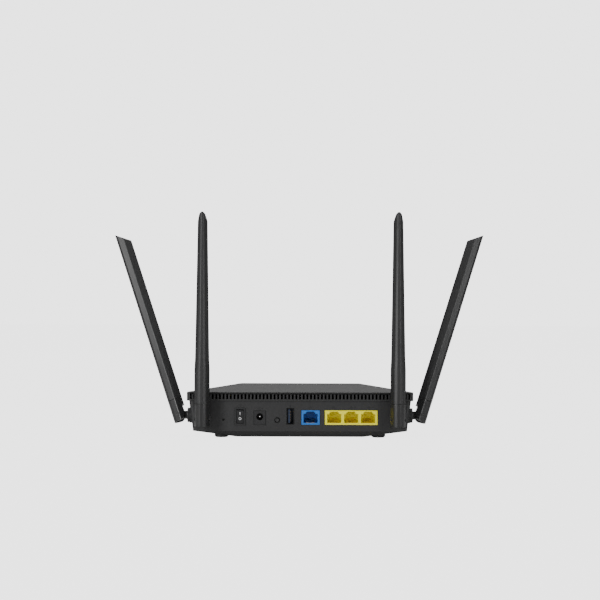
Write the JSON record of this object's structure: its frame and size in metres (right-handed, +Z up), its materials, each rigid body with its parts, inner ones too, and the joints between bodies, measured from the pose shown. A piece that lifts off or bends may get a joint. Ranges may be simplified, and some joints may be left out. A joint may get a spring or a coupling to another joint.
{
  "type": "wireless router",
  "caption": "Low dark plastic case, wider at the rear, with network, USB and power sockets on its rear panel and hinged swivelling antennas.",
  "frame": {"origin": "centre of the bottom of the whole object's box, at the soles of the feet, antennas as stored", "axes": "+Z up, +Y out of the rear panel that carries the sockets, +X to the left seen from behind"},
  "size_m": [0.322, 0.1454, 0.1854],
  "materials": {
    "case_plastic": "fine spark-eroded texture, charcoal",
    "cover_plastic": "fine texture, slight sheen",
    "antenna_plastic": "satin",
    "hinge_plastic": "semi-gloss",
    "window_plastic": "smoked, gloss",
    "clear_plastic": "clear",
    "foot_rubber": "matt",
    "label_paper": "blank",
    "screw_steel": "zinc plated",
    "board_laminate": "solder resist",
    "chip_epoxy": "moulded epoxy",
    "pad_silicone": "soft",
    "sink_aluminium": "extruded",
    "tin_plate": "bright tin",
    "capacitor_sleeve": "can",
    "ferrite": "sintered",
    "lamp_epoxy": "clear",
    "wan_blue": "moulded",
    "lan_yellow": "moulded",
    "gold_plate": "gold flash",
    "connector_black": "moulded",
    "nickel_plate": "nickel",
    "switch_black": "satin",
    "cable_jacket": "smooth"
  },
  "bodies": {
    "case": {"top_cover": "cover_plastic", "bottom_shell": "case_plastic", "indicator_window": "window_plastic", "rubber_feet": "foot_rubber", "rating_label": "label_paper", "case_screws": "screw_steel", "board_screws": "screw_steel", "light_guide": "clear_plastic", "indicator_leds": "lamp_epoxy", "main_board": "board_laminate", "processor": "chip_epoxy", "thermal_pad": "pad_silicone", "heatsink": "sink_aluminium", "shield_cans": "tin_plate", "memory_chips": "chip_epoxy", "line_transformers": "chip_epoxy", "capacitors": "capacitor_sleeve", "power_inductors": "ferrite", "wan_jack_housing": "wan_blue", "wan_jack_contacts": "gold_plate", "lan_jack_housing": "lan_yellow", "lan_jack_contacts": "gold_plate", "usb_shell": "nickel_plate", "usb_tongue": "connector_black", "usb_contacts": "gold_plate", "dc_jack_housing": "connector_black", "dc_jack_pin": "nickel_plate", "dc_jack_spring": "tin_plate", "power_switch_housing": "switch_black", "power_switch_terminals": "tin_plate", "wps_switch": "connector_black", "reset_switch": "connector_black", "antenna_leads": "cable_jacket"},
    "rear_left_swivel": {"rear_left_hub": "hinge_plastic", "rear_left_clip": "screw_steel"},
    "rear_left_antenna": {"rear_left_base": "hinge_plastic", "rear_left_blade": "antenna_plastic", "rear_left_pin": "hinge_plastic", "rear_left_radiator": "gold_plate"},
    "rear_right_swivel": {"rear_right_hub": "hinge_plastic", "rear_right_clip": "screw_steel"},
    "rear_right_antenna": {"rear_right_base": "hinge_plastic", "rear_right_blade": "antenna_plastic", "rear_right_pin": "hinge_plastic", "rear_right_radiator": "gold_plate"},
    "side_left_swivel": {"side_left_hub": "hinge_plastic", "side_left_clip": "screw_steel"},
    "side_left_antenna": {"side_left_base": "hinge_plastic", "side_left_blade": "antenna_plastic", "side_left_pin": "hinge_plastic", "side_left_radiator": "gold_plate"},
    "side_right_swivel": {"side_right_hub": "hinge_plastic", "side_right_clip": "screw_steel"},
    "side_right_antenna": {"side_right_base": "hinge_plastic", "side_right_blade": "antenna_plastic", "side_right_pin": "hinge_plastic", "side_right_radiator": "gold_plate"},
    "rocker": {"power_rocker": "switch_black"},
    "wps_push": {"wps_button": "case_plastic"},
    "reset_push": {"reset_plunger": "connector_black"}
  },
  "joints": [
    {"name": "rear_left_turn", "type": "hinge", "parent": "case", "child": "rear_left_swivel", "pos_m": [0.08, 0.0677, 0.0162], "axis": [0, 1, 0], "range_deg": [-60, 90]},
    {"name": "rear_left_fold", "type": "hinge", "parent": "rear_left_swivel", "child": "rear_left_antenna", "pos_m": [0.08, 0.0677, 0.0162], "axis": [-1, 0, 0], "range_deg": [0, 90]},
    {"name": "rear_right_turn", "type": "hinge", "parent": "case", "child": "rear_right_swivel", "pos_m": [-0.08, 0.0677, 0.0162], "axis": [0, 1, 0], "range_deg": [-90, 60]},
    {"name": "rear_right_fold", "type": "hinge", "parent": "rear_right_swivel", "child": "rear_right_antenna", "pos_m": [-0.08, 0.0677, 0.0162], "axis": [-1, 0, 0], "range_deg": [0, 90]},
    {"name": "side_left_turn", "type": "hinge", "parent": "case", "child": "side_left_swivel", "pos_m": [0.1015, 0.0437, 0.018], "axis": [-1, 0, 0], "range_deg": [-75.5, 104.5]},
    {"name": "side_left_fold", "type": "hinge", "parent": "side_left_swivel", "child": "side_left_antenna", "pos_m": [0.1015, 0.0437, 0.018], "axis": [0, 0.9681, 0.2504], "range_deg": [-19.3, 70.7]},
    {"name": "side_right_turn", "type": "hinge", "parent": "case", "child": "side_right_swivel", "pos_m": [-0.1015, 0.0437, 0.018], "axis": [-1, 0, 0], "range_deg": [-75.5, 104.5]},
    {"name": "side_right_fold", "type": "hinge", "parent": "side_right_swivel", "child": "side_right_antenna", "pos_m": [-0.1015, 0.0437, 0.018], "axis": [0, -0.9681, -0.2504], "range_deg": [-18.5, 71.5]},
    {"name": "power_rock", "type": "hinge", "parent": "case", "child": "rocker", "pos_m": [0.0495, 0.0545, 0.0179], "axis": [1, 0, 0], "range_deg": [0, 16]},
    {"name": "wps_press", "type": "slide", "parent": "case", "child": "wps_push", "axis": [0, -1, 0], "range_m": [0, 0.0006], "stiffness_N_per_m": 600, "springref_m": -0.0005},
    {"name": "reset_press", "type": "slide", "parent": "case", "child": "reset_push", "axis": [0, -1, 0], "range_m": [0, 0.0003], "stiffness_N_per_m": 800, "springref_m": -0.0003}
  ]
}
